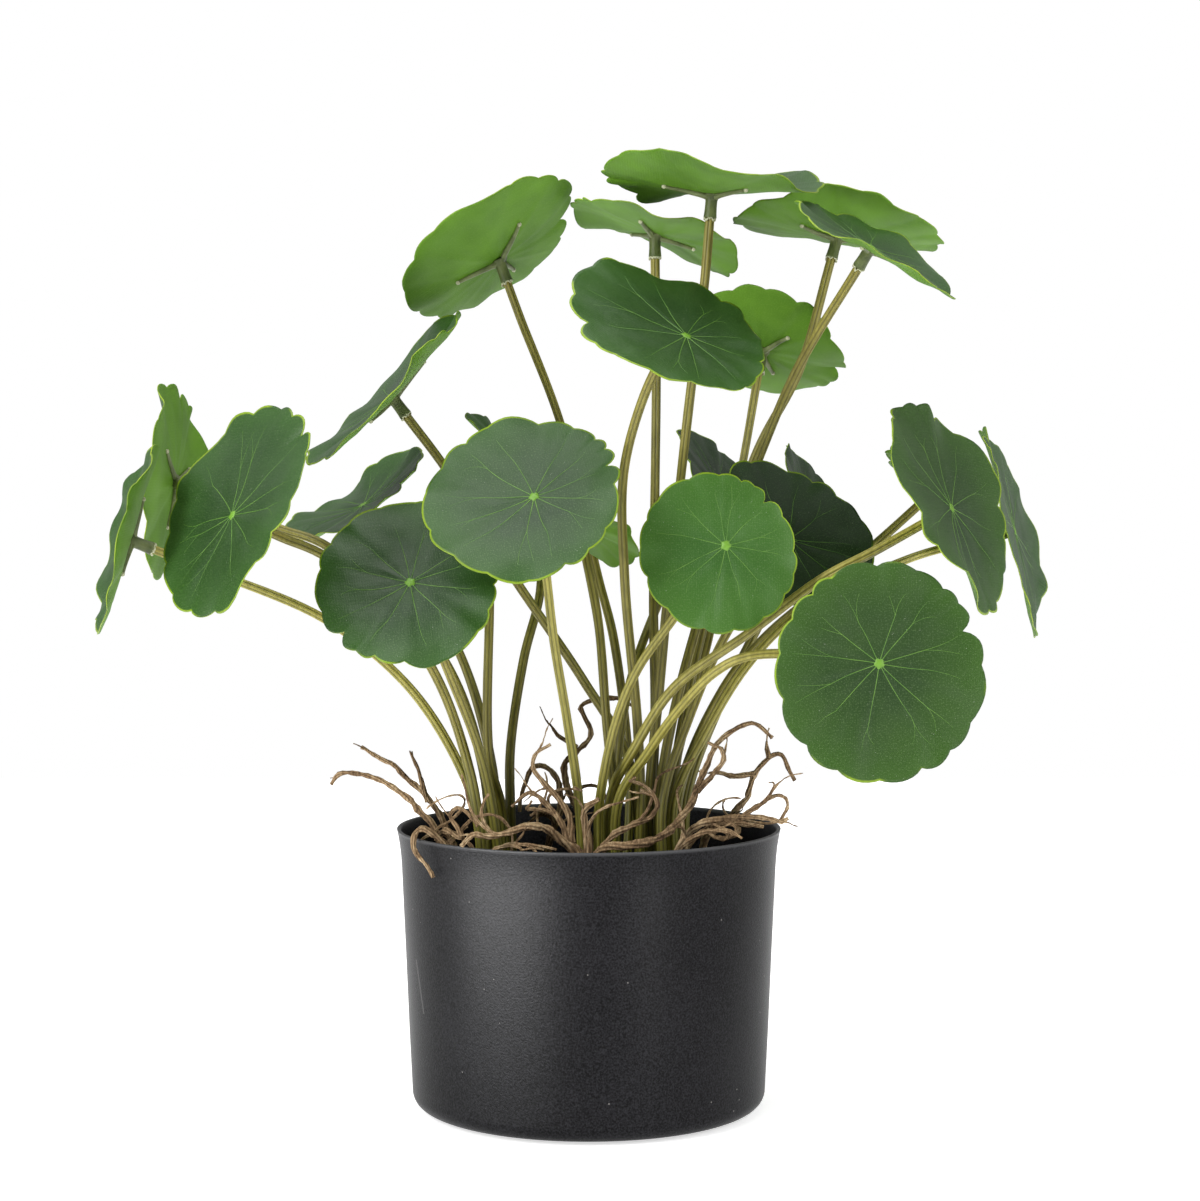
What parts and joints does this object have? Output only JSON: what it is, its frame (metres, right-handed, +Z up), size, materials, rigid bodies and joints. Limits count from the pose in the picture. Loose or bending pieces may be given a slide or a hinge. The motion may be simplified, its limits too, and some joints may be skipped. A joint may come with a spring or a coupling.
{
  "type": "potted pilea plant",
  "caption": "Artificial pilea house plant: round scalloped leaves on long arching stems, standing in a black moulded pot with dry roots round their feet.",
  "frame": {"origin": "centre of the pot's flat foot, on the surface that it stands on", "axes": "+Z up along the pot's axis, front of the plant towards -Y, +X to the right as seen from the front"},
  "size_m": [0.3082, 0.1629, 0.2963],
  "materials": {
    "pot_plastic": "fine pebbled charcoal black",
    "ballast": "rough dark cement",
    "leaf": "moulded, dark green above with a fine woven grain, bright green beneath",
    "stem": "ridged olive to yellow green",
    "root": "dry brown fibre"
  },
  "bodies": {
    "root": {"pot": "pot_plastic", "ballast_block": "ballast", "leaf_01": "leaf", "leaf_02": "leaf", "leaf_03": "leaf", "leaf_04": "leaf", "leaf_05": "leaf", "leaf_06": "leaf", "leaf_07": "leaf", "leaf_08": "leaf", "leaf_09": "leaf", "leaf_10": "leaf", "leaf_11": "leaf", "leaf_12": "leaf", "leaf_13": "leaf", "leaf_14": "leaf", "leaf_15": "leaf", "leaf_16": "leaf", "leaf_17": "leaf", "leaf_18": "leaf", "leaf_19": "leaf", "leaf_20": "leaf", "leaf_21": "leaf", "leaf_22": "leaf", "leaf_23": "leaf", "leaf_24": "leaf", "leaf_25": "leaf", "stem_01": "stem", "stem_02": "stem", "stem_03": "stem", "stem_04": "stem", "stem_05": "stem", "stem_06": "stem", "stem_07": "stem", "stem_08": "stem", "stem_09": "stem", "stem_10": "stem", "stem_11": "stem", "stem_12": "stem", "stem_13": "stem", "stem_14": "stem", "stem_15": "stem", "stem_16": "stem", "stem_17": "stem", "stem_18": "stem", "stem_19": "stem", "stem_20": "stem", "stem_21": "stem", "stem_22": "stem", "stem_23": "stem", "stem_24": "stem", "stem_25": "stem", "root_01": "root", "root_02": "root", "root_03": "root", "root_04": "root", "root_05": "root", "root_06": "root", "root_07": "root", "root_08": "root"}
  },
  "joints": []
}
